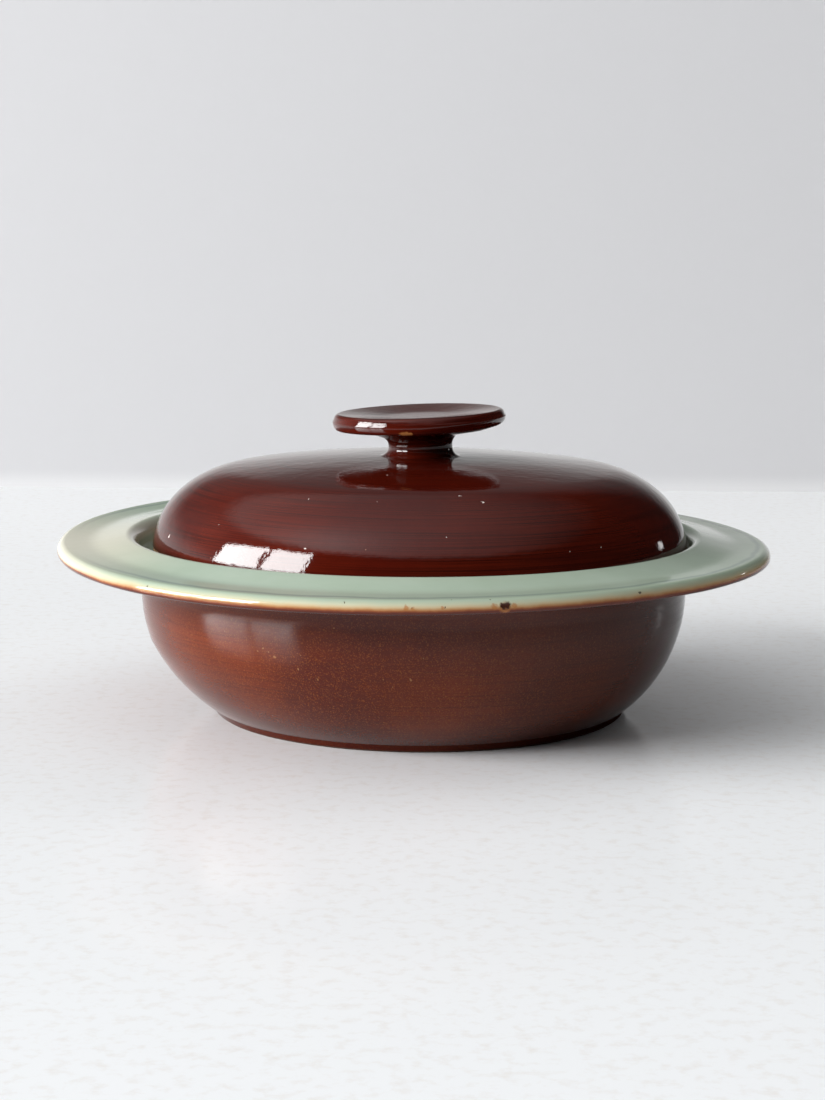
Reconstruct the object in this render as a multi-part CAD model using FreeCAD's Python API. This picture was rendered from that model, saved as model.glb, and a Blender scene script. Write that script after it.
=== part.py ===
import FreeCAD, Part
import math
import os

# A covered serving dish in glazed stoneware: a round bowl with a broad sloping flange, and a
# domed lid with a disc knob that sits in a recess inside the flange, the gallery.
# Brown glaze covers the outside and the lid, celadon glaze the flange, the gallery and the insides.
# Millimetres, Z up, origin on the table at the centre of the foot ring.
# Every piece was turned on a wheel, so each is drawn as a half section, radius against height,
# and turned about the upright axis. Glaze coats are drawn as skins on the clay they cover.

# Diameters, heights and depths are over the glaze. Thicknesses and roundings are the clay's own.

# Glaze
glaze = 0.4
glaze_stop = 1.0            # bare clay kept between the glaze and the table

# Dish
wall_diameter = 215.0
flange_width = 32.5         # from the wall out to the rim
dish_height = 70.7          # to the crest, the highest ring of the flange
wall_thickness = 6.4
wall_straight = 0.8         # upright stretch between the belly and the cove under the flange
cove_round = 11.0
foot_diameter = 167.8       # at the crease where the belly meets the foot
foot_height = 3.2
foot_taper = 1.6
foot_width = 8.0
foot_edge_round = 0.8
base_recess = 2.8           # the base stands this far above the table
base_corner_round = 2.0
floor_thickness = 7.0
inside_corner_round = 38.0

# Flange and lip
flange_slope = 11.4         # degrees, falling outwards
underside_slope = 8.5       # degrees, rising outwards
crest_round = 3.6
shelf_width = 13.6          # the nearly level ring along the rim
shelf_slope = 1.0           # degrees, rising outwards
shelf_round = 9.0           # where the slope turns into the shelf
lip_thickness = 4.1
lip_top_round = 2.8
lip_bottom_round = 1.3

# Gallery
gallery_step = 1.5          # its upright side stands this far outside the dish's wall
gallery_depth = 8.8         # crest to ledge
gallery_corner_round = 2.0
ledge_overhang = 1.4        # the ledge reaches this far in past the wall's inner side
ledge_nose = 3.5            # height of the ledge's inner edge
ledge_edge_round = 1.2
ledge_back_round = 3.0
ledge_underside = 40.0      # degrees off upright, from the nose back to the wall

# Lid
lid_play = 3.4              # all round, between the lid and the gallery's wall
lid_offset = 2.4            # the lid lies this far to one side of its play, towards +X
lid_height = 39.0           # seat to the top of the dome
lid_wall = 6.0
crown_radius = 600.0
side_radius = 31.0
side_span = 45.0            # degrees of the side's arc, from upright
rim_band = 1.6              # upright stretch above the seat
seat_edge_round = 1.2
bare_rim = 4.5              # the glaze is wiped off the lid up to this height above its seat

# Knob
knob_diameter = 68.4
knob_height = 17.7          # above the dome
knob_thickness = 6.5        # at the edge
knob_side = 3.8             # height of the blunt edge
knob_edge_round = 1.9
knob_shoulder = 3.0         # from the edge in to the ridge round the hollow
knob_ridge_round = 2.6
knob_hollow = 2.8           # depth of the thumb hollow below the ridge
hollow_diameter = 26.0      # flat middle of the hollow
hollow_round = 60.0
knob_underside = 7.5        # degrees, rising outwards
stem_diameter = 25.3
stem_straight = 0.5         # least upright stretch at the waist


def tan(degrees):
    return math.tan(math.radians(degrees))


def section_point(radius, height):
    return FreeCAD.Vector(radius, 0, height)


def line(start, end):
    return Part.LineSegment(section_point(*start), section_point(*end)).toShape()


def on_circle(centre, radius, angle):
    """A point on a circle of the section. Angles are in degrees, 0 outwards and 90 up."""
    a = math.radians(angle)
    return (centre[0] + radius * math.cos(a), centre[1] + radius * math.sin(a))


def arc(centre, radius, start, end):
    points = [on_circle(centre, radius, a) for a in (start, (start + end) / 2, end)]
    return Part.Arc(*[section_point(*p) for p in points]).toShape()


def rounded(corners):
    """Straight edges through (radius, height, rounding) corners, with an arc at each rounded one."""
    edges = []
    here = FreeCAD.Vector(corners[0][0], 0, corners[0][1])
    for before, (r, z, rounding), after in zip(corners, corners[1:], corners[2:]):
        corner = section_point(r, z)
        to_before = (section_point(before[0], before[1]) - corner).normalize()
        to_after = (section_point(after[0], after[1]) - corner).normalize()
        if rounding:
            half = to_before.getAngle(to_after) / 2
            run = rounding / math.tan(half)
            bisector = (to_before + to_after).normalize()
            arc_start = corner + to_before * run
            arc_end = corner + to_after * run
            arc_middle = corner + bisector * (rounding / math.sin(half) - rounding)
            edges += straight(here, arc_start)
            edges.append(Part.Arc(arc_start, arc_middle, arc_end).toShape())
            here = arc_end
        else:
            edges += straight(here, corner)
            here = corner
    edges += straight(here, section_point(corners[-1][0], corners[-1][1]))
    return edges


def straight(start, end):
    """The edge between two points, or none where they meet."""
    if start.distanceToPoint(end) < 1e-6:
        return []
    return [Part.LineSegment(start, end).toShape()]


def tangent_run(rounding, turn):
    """How far a rounding reaches from its corner along each side, for a turn in degrees."""
    return rounding * tan(turn / 2)


def turned(face):
    """The solid that a half section sweeps about the upright axis."""
    return face.revolve(FreeCAD.Vector(0, 0, 0), FreeCAD.Vector(0, 0, 1), 360)


def turned_section(edges):
    wire = Part.Wire(Part.__sortEdges__(edges))
    return turned(Part.Face(wire))


def glaze_coat(edges):
    """A glaze skin on a run of the clay's section, on the right of its direction."""
    run = Part.Wire(Part.__sortEdges__(edges))
    return turned(run.makeOffset2D(-glaze, 0, True, True))


# Dish: levels and radii of the clay under the glaze
rim_radius = wall_diameter / 2 + flange_width - glaze
wall_radius = wall_diameter / 2 - glaze
inner_radius = wall_radius - wall_thickness
foot_radius = foot_diameter / 2 - glaze
foot_bottom_radius = foot_radius - foot_taper
foot_inner_radius = foot_bottom_radius - foot_width
gallery_radius = wall_diameter / 2 + gallery_step + glaze
ledge_radius = inner_radius - ledge_overhang
seat_height = dish_height - gallery_depth
base_height = base_recess + glaze
floor_height = base_height + floor_thickness

crest_corner = dish_height - glaze + crest_round * (1 / math.cos(math.radians(flange_slope)) - 1)
crest_corner += crest_round * tan(flange_slope)
shelf_radius = rim_radius - shelf_width
shelf_height = crest_corner - (shelf_radius - gallery_radius) * tan(flange_slope)
lip_height = shelf_height + shelf_width * tan(shelf_slope)
lip_bottom = lip_height - lip_thickness
glaze_line = lip_height - tangent_run(lip_top_round, 90 + shelf_slope)
root_height = lip_bottom - (rim_radius - wall_radius) * tan(underside_slope)


def dish_outside():
    """The clay from the glaze's lower edge on the foot, up the belly and out to the glaze line on the lip."""
    belly_top = root_height - tangent_run(cove_round, 90 - underside_slope) - wall_straight
    across = wall_radius - foot_radius
    up = belly_top - foot_height
    belly_radius = (across ** 2 + up ** 2) / (2 * across)
    belly_start = math.degrees(math.atan2(-up, belly_radius - across))
    foot_slope = foot_taper / foot_height
    glaze_foot = (foot_bottom_radius + glaze_stop * foot_slope, glaze_stop)
    crease = (foot_radius, foot_height)
    edges = [line(glaze_foot, crease)]
    edges.append(arc((wall_radius - belly_radius, belly_top), belly_radius, belly_start, 0))
    edges += rounded([
        (wall_radius, belly_top, 0),
        (wall_radius, root_height, cove_round),
        (rim_radius, lip_bottom, lip_bottom_round),
        (rim_radius, glaze_line, 0),
    ])
    return edges, glaze_foot


def dish_inside():
    """The clay from the glaze line over the lip, across the flange, down the gallery and into the bowl."""
    nose_bottom = seat_height - glaze - ledge_nose
    ledge_back = nose_bottom - ledge_overhang / tan(ledge_underside)
    corner_room = ledge_back - ledge_back_round - floor_height
    return rounded([
        (rim_radius, glaze_line, 0),
        (rim_radius, lip_height, lip_top_round),
        (shelf_radius, shelf_height, shelf_round),
        (gallery_radius, crest_corner, crest_round),
        (gallery_radius, seat_height - glaze, gallery_corner_round),
        (ledge_radius, seat_height - glaze, ledge_edge_round),
        (ledge_radius, nose_bottom, ledge_edge_round),
        (inner_radius, ledge_back, ledge_back_round),
        (inner_radius, floor_height, min(inside_corner_round, corner_room)),
        (0, floor_height, 0),
    ])


def dish_base():
    """The glazed base inside the foot ring."""
    return rounded([
        (0, base_height, 0),
        (foot_inner_radius, base_height, base_corner_round),
        (foot_inner_radius, glaze_stop, 0),
    ])


def bare_foot(glaze_foot):
    """The ring that stands on the table, wiped clean of glaze."""
    return rounded([
        (foot_inner_radius, glaze_stop, 0),
        (foot_inner_radius, 0, foot_edge_round),
        (foot_bottom_radius, 0, foot_edge_round),
        (glaze_foot[0], glaze_foot[1], 0),
    ])


def build_dish():
    outside, glaze_foot = dish_outside()
    inside = dish_inside()
    base = dish_base()
    middle = line((0, base_height), (0, floor_height))
    return {
        "dish_clay": turned_section(outside + inside + base + bare_foot(glaze_foot) + [middle]),
        "dish_brown_glaze": glaze_coat(outside),
        "dish_celadon_glaze": glaze_coat(inside),
        "dish_base_glaze": glaze_coat(base),
    }


# Lid: radii and levels of the clay under the glaze
lid_radius = wall_diameter / 2 + gallery_step - lid_play - glaze
dome_top = seat_height + lid_height - glaze
band_top = seat_height + rim_band
side = side_radius - glaze
crown = crown_radius - glaze
side_centre = (lid_radius - side, band_top)
crown_centre = (0, dome_top - crown)

# The shoulder's arc joins the side's to the crown's, tangent to both
side_end = on_circle(side_centre, side, side_span)
chord = (side_end[0] - crown_centre[0], side_end[1] - crown_centre[1])
along = chord[0] * math.cos(math.radians(side_span)) + chord[1] * math.sin(math.radians(side_span))
shoulder = (crown ** 2 - chord[0] ** 2 - chord[1] ** 2) / (2 * (crown - along))
shoulder_centre = on_circle(side_end, -shoulder, side_span)
shoulder_end = 90 - math.degrees(math.atan2(shoulder_centre[0], shoulder_centre[1] - crown_centre[1]))

# Knob: radii and levels of the clay under the glaze
knob_radius = knob_diameter / 2 - glaze
stem_radius = stem_diameter / 2 - glaze
ridge_height = dome_top + knob_height
edge_bottom = ridge_height - knob_thickness
stem_top = edge_bottom - (knob_radius - stem_radius) * tan(knob_underside)
stem_gap = stem_top - dome_top
stem_round = (stem_gap - stem_straight) / (1 + tan((90 - knob_underside) / 2))
flare_centre_radius = stem_radius + stem_round
flare_span = math.degrees(math.asin(flare_centre_radius / (crown + stem_round)))
flare_centre = on_circle(crown_centre, crown + stem_round, 90 - flare_span)


def dome(inset, span_start, crown_end):
    """The dome's section, inset from its outer clay surface, from an angle on its side to one on its crown."""
    return [
        arc(side_centre, side - inset, span_start, side_span),
        arc(shoulder_centre, shoulder - inset, side_span, shoulder_end),
        arc(crown_centre, crown - inset, shoulder_end, crown_end),
    ]


def knob_outside():
    """The knob's clay, from the middle of its hollow over the edge and down the stem to the dome."""
    hollow_height = ridge_height - knob_hollow
    edges = rounded([
        (0, hollow_height, 0),
        (hollow_diameter / 2, hollow_height, hollow_round),
        (knob_radius - knob_shoulder, ridge_height, knob_ridge_round),
        (knob_radius, edge_bottom + knob_side, knob_edge_round),
        (knob_radius, edge_bottom, knob_edge_round),
        (stem_radius, stem_top, stem_round),
        (stem_radius, flare_centre[1], 0),
    ])
    edges.append(arc(flare_centre, stem_round, 180, 270 - flare_span))
    return edges


def lid_lining():
    """The glaze inside the dome, down to the upright band above the seat."""
    inner_edge = lid_radius - lid_wall
    under_dome = dome_top - lid_wall
    edges = dome(lid_wall, 0, 90) + dome(lid_wall + glaze, 0, 90)
    edges.append(line((inner_edge, band_top), (inner_edge - glaze, band_top)))
    edges.append(line((0, under_dome), (0, under_dome - glaze)))
    return edges


def build_lid():
    bare_angle = math.degrees(math.asin((bare_rim - rim_band) / side))
    flare_end = 90 - flare_span
    inner_edge = lid_radius - lid_wall
    rim = [arc(side_centre, side, 0, bare_angle)]
    rim += rounded([
        (inner_edge, band_top, 0),
        (inner_edge, seat_height, seat_edge_round),
        (lid_radius, seat_height, seat_edge_round),
        (lid_radius, band_top, 0),
    ])
    glazed = dome(0, bare_angle, flare_end)
    under_knob = [arc(crown_centre, crown, flare_end, 90)]
    inside = dome(lid_wall, 0, 90)
    knob = knob_outside()
    hollow_middle = (0, ridge_height - knob_hollow)
    shell_middle = line((0, dome_top - lid_wall), (0, dome_top))
    stem_middle = line((0, dome_top), hollow_middle)
    solids = {
        "lid_clay": turned_section(rim + glazed + under_knob + inside + [shell_middle]),
        "lid_knob": turned_section(knob + under_knob + [stem_middle]),
        "lid_brown_glaze": glaze_coat(glazed + knob),
        "lid_celadon_glaze": turned_section(lid_lining()),
    }
    for solid in solids.values():
        solid.translate(FreeCAD.Vector(lid_offset, 0, 0))
    return solids


def main():
    os.makedirs("parts", exist_ok=True)
    solids = {**build_dish(), **build_lid()}
    for name, solid in solids.items():
        solid.exportStep("parts/" + name + ".step")
        box = solid.optimalBoundingBox(True, False)
        print(name, solid.ShapeType, "valid", solid.isValid(), "volume", round(solid.Volume, 1),
              "x", round(box.XMin, 2), round(box.XMax, 2), "z", round(box.ZMin, 2), round(box.ZMax, 2))


main()
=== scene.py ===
import math

import bpy
from mathutils import Matrix, Vector


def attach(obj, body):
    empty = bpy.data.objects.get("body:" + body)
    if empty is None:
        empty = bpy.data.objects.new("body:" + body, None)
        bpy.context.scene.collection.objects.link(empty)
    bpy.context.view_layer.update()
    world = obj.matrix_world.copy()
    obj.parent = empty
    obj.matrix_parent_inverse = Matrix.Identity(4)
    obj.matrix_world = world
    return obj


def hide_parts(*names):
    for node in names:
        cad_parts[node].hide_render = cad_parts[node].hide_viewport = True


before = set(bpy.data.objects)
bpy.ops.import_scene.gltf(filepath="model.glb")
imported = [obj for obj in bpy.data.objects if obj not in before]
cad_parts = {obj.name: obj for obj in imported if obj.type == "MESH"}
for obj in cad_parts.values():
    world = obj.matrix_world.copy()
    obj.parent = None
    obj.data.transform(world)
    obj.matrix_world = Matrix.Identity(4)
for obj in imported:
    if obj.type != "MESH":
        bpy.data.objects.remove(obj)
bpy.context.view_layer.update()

# Covered serving dish in glazed stoneware: brown glaze outside, celadon on the flange and inside
# Sizes in the dictionaries are millimetres and degrees, the scene is in metres
mm = 0.001
scene = bpy.context.scene


# Camera, matched to the photograph
camera = {
    "imageHeight": 1100,    # pixels, the photograph's longer side
    "focalPixels": 2330.35,
    "distance": 915.0,      # in front of the dish's axis
    "height": 201.14,
    "side": -0.53,
    "pitch": 8.584,         # looking down
    "roll": 0.355,
    "sensor": 36.0,
    "clip": (0.01, 50.0),   # metres
}


def makeCamera():
    data = bpy.data.cameras.new("camera")
    data.sensor_width = camera["sensor"]
    data.lens = camera["focalPixels"] * camera["sensor"] / camera["imageHeight"]
    data.clip_start, data.clip_end = camera["clip"]
    view = bpy.data.objects.new("camera", data)
    scene.collection.objects.link(view)
    place = Matrix.Translation(Vector((camera["side"], -camera["distance"], camera["height"])) * mm)
    tilt = Matrix.Rotation(math.radians(90 - camera["pitch"]), 4, "X")
    roll = Matrix.Rotation(math.radians(camera["roll"]), 4, "Z")
    view.matrix_world = place @ tilt @ roll
    scene.camera = view
    print("camera at", [round(v, 4) for v in view.matrix_world.translation])


# Turning on the wheel
wheel = {
    "around": 256,          # steps round a piece
    "arcStep": 4.0,         # degrees
    "longestStep": 5.0,
    "fewestSteps": 3,       # round an arc
    "shortestRun": 1e-6,
    "mergeWithin": 0.002,
    "glaze": 0.4,
    "glazeCrease": 20,      # degrees, turns sharper than this stay sharp
    "clayCrease": 40,
}


def startOutline(name, radius, height):
    # one point, from which the half section is drawn by extruding and spinning
    bpy.ops.object.select_all(action="DESELECT")
    bpy.ops.mesh.primitive_plane_add(size=mm, location=(0, 0, 0))
    piece = bpy.context.object
    piece.name = name
    piece.data.name = name
    bpy.ops.object.mode_set(mode="EDIT")
    bpy.ops.mesh.select_all(action="SELECT")
    bpy.ops.mesh.merge(type="CENTER")
    bpy.ops.transform.translate(value=(radius * mm, 0, height * mm))
    return piece


def lineTo(here, there):
    run = math.dist(here, there)
    if run < wheel["shortestRun"]:
        return there
    parts = math.ceil(run / wheel["longestStep"])
    step = ((there[0] - here[0]) / parts * mm, 0, (there[1] - here[1]) / parts * mm)
    for _ in range(parts):
        bpy.ops.mesh.extrude_region_move(TRANSFORM_OT_translate={"value": step})
    return there


def arcTo(here, centre, turn):
    # turn is in degrees, positive from outwards to upwards
    radius = math.dist(here, centre)
    angle = math.radians(turn)
    byTurn = math.ceil(abs(turn) / wheel["arcStep"])
    byLength = math.ceil(radius * abs(angle) / wheel["longestStep"])
    steps = max(wheel["fewestSteps"], byTurn, byLength)
    bpy.ops.mesh.spin(steps=steps, angle=angle, center=(centre[0] * mm, 0, centre[1] * mm), axis=(0, 1, 0))
    end = math.atan2(here[1] - centre[1], here[0] - centre[0]) + angle
    return (centre[0] + radius * math.cos(end), centre[1] + radius * math.sin(end))


def cornersTo(here, corners):
    # straight runs through (radius, height, rounding) corners, with an arc at each rounded one
    for i, (radius, height, rounding) in enumerate(corners):
        corner = Vector((radius, height))
        if not rounding:
            here = lineTo(here, tuple(corner))
            continue
        before = (Vector(here) - corner).normalized()
        after = (Vector(corners[i + 1][:2]) - corner).normalized()
        half = before.angle(after) / 2
        here = lineTo(here, tuple(corner + before * rounding / math.tan(half)))
        centre = corner + (before + after).normalized() * rounding / math.sin(half)
        sideways = before.y * after.x - before.x * after.y
        here = arcTo(here, tuple(centre), math.copysign(180 - math.degrees(2 * half), sideways))
    return here


def mergeDoubles():
    bpy.ops.mesh.select_all(action="SELECT")
    bpy.ops.mesh.remove_doubles(threshold=wheel["mergeWithin"] * mm)


def turnOutline(piece, inwards=False):
    # spins the outline about the upright axis, then closes the seam and the pole
    bpy.ops.mesh.select_all(action="SELECT")
    bpy.ops.mesh.spin(steps=wheel["around"], angle=2 * math.pi, center=(0, 0, 0), axis=(0, 0, 1))
    mergeDoubles()
    bpy.ops.mesh.normals_make_consistent(inside=inwards)
    bpy.ops.object.mode_set(mode="OBJECT")


def applyModifier(piece, kind, settings):
    modifier = piece.modifiers.new(kind, kind)
    for key, value in settings.items():
        setattr(modifier, key, value)
    bpy.ops.object.modifier_apply(modifier=modifier.name)


def wobble(piece, size, depth):
    # what the hand leaves: the surface swells and dips a little over size millimetres
    cloud = bpy.data.textures.new(piece.name + "Wobble", "CLOUDS")
    cloud.noise_scale = size * mm
    cloud.noise_depth = 1
    applyModifier(piece, "DISPLACE", {
        "texture": cloud, "texture_coords": "LOCAL", "strength": 2 * depth * mm, "mid_level": 0.5})
    bpy.data.textures.remove(cloud)


def glazeSkin(piece):
    # the outline is the clay's surface, and the glaze lies on it
    applyModifier(piece, "SOLIDIFY", {
        "thickness": wheel["glaze"] * mm, "offset": 1.0, "use_even_offset": True})
    bpy.ops.object.shade_smooth_by_angle(angle=math.radians(wheel["glazeCrease"]))
    # the glaze's patterns follow each point's place on the wheel, in millimetres,
    # before it warps and moves
    places = piece.data.attributes.new("wheelPlace", "FLOAT_VECTOR", "POINT")
    places.data.foreach_set("vector", [c / mm for vertex in piece.data.vertices for c in vertex.co])


def moveRight(piece, distance):
    bpy.ops.object.mode_set(mode="EDIT")
    bpy.ops.mesh.select_all(action="SELECT")
    bpy.ops.transform.translate(value=(distance * mm, 0, 0))
    bpy.ops.object.mode_set(mode="OBJECT")


def copyNode(node, name):
    # a merged copy of a CAD node's mesh, to warp like the glaze on it
    piece = bpy.data.objects.new(name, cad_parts[node].data.copy())
    piece.data.name = name
    scene.collection.objects.link(piece)
    bpy.ops.object.select_all(action="DESELECT")
    bpy.context.view_layer.objects.active = piece
    piece.select_set(True)
    bpy.ops.object.mode_set(mode="EDIT")
    mergeDoubles()
    bpy.ops.object.mode_set(mode="OBJECT")
    return piece


def finishPiece(piece, body, material, node):
    piece.data.materials.clear()
    piece.data.materials.append(material)
    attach(piece, body)
    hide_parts(node)
    print(piece.name, "rides on", body, "with", len(piece.data.polygons), "faces")


# Colours and nodes
def colour(code):
    channels = [int(code[i:i + 2], 16) / 255 for i in (1, 3, 5)]
    return [c / 12.92 if c <= 0.04045 else ((c + 0.055) / 1.055) ** 2.4 for c in channels] + [1.0]


def addNode(tree, kind, settings):
    # a socket is linked, and a value goes to the input or the property of that name
    new = tree.nodes.new("ShaderNode" + kind)
    for key, value in settings.items():
        if isinstance(value, bpy.types.NodeSocket):
            tree.links.new(value, new.inputs[key])
        elif isinstance(key, int) or key in new.inputs:
            new.inputs[key].default_value = value
        else:
            setattr(new, key, value)
    return new


def newMaterial(name):
    material = bpy.data.materials.new(name)
    material.use_nodes = True
    tree = material.node_tree
    return material, tree, tree.nodes["Principled BSDF"]


# Marks in the glazes, in millimetres: rings left by the brush and the wheel, specks, and single marks
glazeMarks = {
    "lineRadius": 105.0,        # where the brush rings have their full length
    "lineNoise": {"Scale": 1.0, "Detail": 2.0, "Roughness": 0.6},
    "stray": 2.0,               # how far a mark's outline strays, over straySize
    "straySize": 1.5,
    "speckFade": (0.7, 0.35),   # the shares of its size between which a speck fades out
    "markFade": (0.6, 0.35),
    "noiseRange": (0.3, 0.7),   # what noise mostly stays within
}


def wheelPlaces(tree):
    # a point's place on its own wheel in millimetres, its radius, height and direction from the axis
    place = addNode(tree, "Attribute", {"attribute_name": "wheelPlace"}).outputs["Vector"]
    flat = addNode(tree, "VectorMath", {"operation": "MULTIPLY", 0: place, 1: (1, 1, 0)}).outputs[0]
    noise = addNode(tree, "TexNoise", {"Vector": place, "Scale": 1 / glazeMarks["straySize"]})
    ragged = addNode(tree, "VectorMath", {
        "operation": "SUBTRACT", 0: noise.outputs["Color"], 1: (0.5, 0.5, 0.5)}).outputs[0]
    stray = (glazeMarks["stray"],) * 3
    return {
        "place": place,
        # a little off everywhere, for the outlines of chips and specks
        "ragged": addNode(tree, "VectorMath", {
            "operation": "MULTIPLY_ADD", 0: ragged, 1: stray, 2: place}).outputs[0],
        "radius": addNode(tree, "VectorMath", {"operation": "LENGTH", 0: flat}).outputs["Value"],
        "height": addNode(tree, "SeparateXYZ", {0: place}).outputs["Z"],
        "direction": addNode(tree, "VectorMath", {"operation": "NORMALIZE", 0: flat}).outputs[0],
    }


def wheelLines(tree, places, spacing, length, outwards):
    # rings left by the brush and the wheel, spacing millimetres apart, each fading after about that
    # length; outwards is 1 where the radius grows with the height, and -1 where it shrinks
    radius = addNode(tree, "Math", {"operation": "MULTIPLY", 0: places["radius"], 1: outwards}).outputs[0]
    along = addNode(tree, "Math", {"operation": "ADD", 0: places["height"], 1: radius}).outputs[0]
    row = addNode(tree, "Math", {"operation": "DIVIDE", 0: along, 1: spacing}).outputs[0]
    rows = addNode(tree, "CombineXYZ", {"Z": row}).outputs[0]
    turn = addNode(tree, "VectorMath", {
        "operation": "SCALE", 0: places["direction"], "Scale": glazeMarks["lineRadius"] / length}).outputs[0]
    vector = addNode(tree, "VectorMath", {"operation": "ADD", 0: rows, 1: turn}).outputs[0]
    return addNode(tree, "TexNoise", {"Vector": vector, **glazeMarks["lineNoise"]}).outputs[0]


def lineColours(tree, lines, g, base):
    # the brush rings drawn darker on the base
    dark = addNode(tree, "MapRange", {"Value": lines, **g["lineRange"]}).outputs[0]
    return addMarks(tree, base, [(dark, g["lineColour"])])


def cloudTones(tree, place, g):
    # two tones that drift into each other, in clouds of that size
    cloud = addNode(tree, "TexNoise", {
        "Vector": place, "Scale": 1 / g["cloudSize"], "Detail": g["cloudDetail"]}).outputs[0]
    even = addNode(tree, "MapRange", {
        "Value": cloud, "From Min": g["cloudEdge"], "From Max": 1 - g["cloudEdge"]}).outputs[0]
    first, second = [colour(code) for code in g["tones"]]
    return addNode(tree, "Mix", {"data_type": "RGBA", 0: even, 6: first, 7: second}).outputs[2]


def wander(tree, place, noise, middle, reach):
    # a value that strays up to reach to either side of the middle
    low, high = glazeMarks["noiseRange"]
    stray = addNode(tree, "TexNoise", {"Vector": place, **noise}).outputs[0]
    return addNode(tree, "MapRange", {
        "Value": stray, "From Min": low, "From Max": high,
        "To Min": middle - reach, "To Max": middle + reach}).outputs[0]


def scatter(tree, place, spacing, size, share):
    # round specks of that size, one in each cell of the spacing, and only in that share of the cells
    cells = addNode(tree, "TexVoronoi", {"Vector": place, "Scale": 1 / spacing})
    outer, inner = [fade * size / spacing for fade in glazeMarks["speckFade"]]
    near = addNode(tree, "MapRange", {
        "Value": cells.outputs["Distance"], "From Min": outer, "From Max": inner}).outputs[0]
    chance = addNode(tree, "SeparateColor", {0: cells.outputs["Color"]}).outputs[0]
    kept = addNode(tree, "Math", {"operation": "LESS_THAN", 0: chance, 1: share}).outputs[0]
    return addNode(tree, "Math", {"operation": "MULTIPLY", 0: near, 1: kept}).outputs[0]


def marksAt(tree, places, marks):
    # single marks, each at a place on the wheel with its size in millimetres
    total = None
    for place, size in marks:
        away = addNode(tree, "VectorMath", {"operation": "DISTANCE", 0: places["ragged"], 1: place})
        outer, inner = [fade * size for fade in glazeMarks["markFade"]]
        mark = addNode(tree, "MapRange", {
            "Value": away.outputs["Value"], "From Min": outer, "From Max": inner}).outputs[0]
        if total is None:
            total = mark
        else:
            total = addNode(tree, "Math", {"operation": "MAXIMUM", 0: total, 1: mark}).outputs[0]
    return total


def addMarks(tree, base, marks):
    # lays each colour over the ones before it where its own pattern is
    for pattern, code in marks:
        base = addNode(tree, "Mix", {
            "data_type": "RGBA", 0: pattern, 6: base, 7: colour(code)}).outputs[2]
    return base


def addBumps(tree, place, reliefs, detail=2.0):
    # lays reliefs over each other, each with its depth in millimetres; a number is noise of that size
    settings = {}
    for relief, depth in reliefs:
        if not isinstance(relief, bpy.types.NodeSocket):
            noise = addNode(tree, "TexNoise", {"Vector": place, "Scale": 1 / relief, "Detail": detail})
            relief = noise.outputs[0]
        bump = addNode(tree, "Bump", {"Height": relief, "Distance": depth * mm, **settings}).outputs[0]
        settings = {"Normal": bump}
    return bump


# Brown gloss glaze on the lid: an iron-rich glaze brushed on stoneware in rings, fired deep red-brown.
# It gives the eye a sharp wet reflection over fine rings from the brush, with pinholes and pale specks: tiny
# pits, painted pale as the glints of light they catch.
glossBrown = {
    "tones": ("#440e06", "#511508"),
    "cloudSize": 40,
    "cloudDetail": 3.0,
    "cloudEdge": 0.35,
    "lineColour": "#2e0a05",
    "lineSpacing": 0.6,     # half as coarse again as the real brush marks, so that they show
    "lineLength": 70,
    "lineRange": {"From Min": 0.42, "From Max": 0.72, "To Max": 0.9},
    "lineDepth": 0.012,
    "reliefs": [(0.7, 0.008), (3.4, 0.05), (12, 0.09)],     # grain, ripples and swells, size and depth
    "ior": 1.47,
    # rougher in the hollow of the knob, where thumbs have dulled it
    "roughness": {"To Min": 0.05, "To Max": 0.14},
    "knobTop": {"From Min": 112.5, "From Max": 113.5},
    "hollowEdge": {"From Min": 33.0, "From Max": 30.5},
    # painted glints: the pale specks stand for light caught in tiny pits in the glaze
    "specks": (7, 0.5, 0.3),            # spacing, size and share
    "speckColour": "#9a6a58",
    "pinholeGlintColour": "#e6dcd6",
    # the pinholes are real pits, painted near white as the glints of light caught in them
    "chipColour": "#a0683a",
    "pitColour": "#1d0a08",
    # places on the wheel and sizes, the lid turned as in the photograph
    "pinholes": [((22.4, -82.5, 93.1), 1.3), ((-41.3, -93.5, 77.6), 1.2), ((-95.2, -41.2, 74.0), 0.9),
                 ((14.1, -79.6, 94.9), 0.8), ((-12.6, -49.2, 98.7), 0.8), ((9.3, -98.6, 82.6), 0.6),
                 ((53.6, -88.0, 75.9), 0.6), ((-15.4, -84.1, 93.1), 0.4), ((-40.6, -75.6, 92.9), 0.4),
                 ((-42.2, -15.1, 99.2), 0.7), ((-74.1, -66.4, 81.9), 0.5), ((65.4, -79.4, 76.2), 0.5)],
    "chips": [((-6.3, -33.0, 111.5), 2.6), ((-4.9, -33.2, 111.6), 2.6), ((-3.7, -33.3, 111.7), 2.2)],
    "pits": [((-54.3, 14.0, 98.3), 1.3), ((-51.5, 11.0, 98.6), 0.9), ((-47.6, 0.6, 99.0), 0.9)],
}


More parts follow.
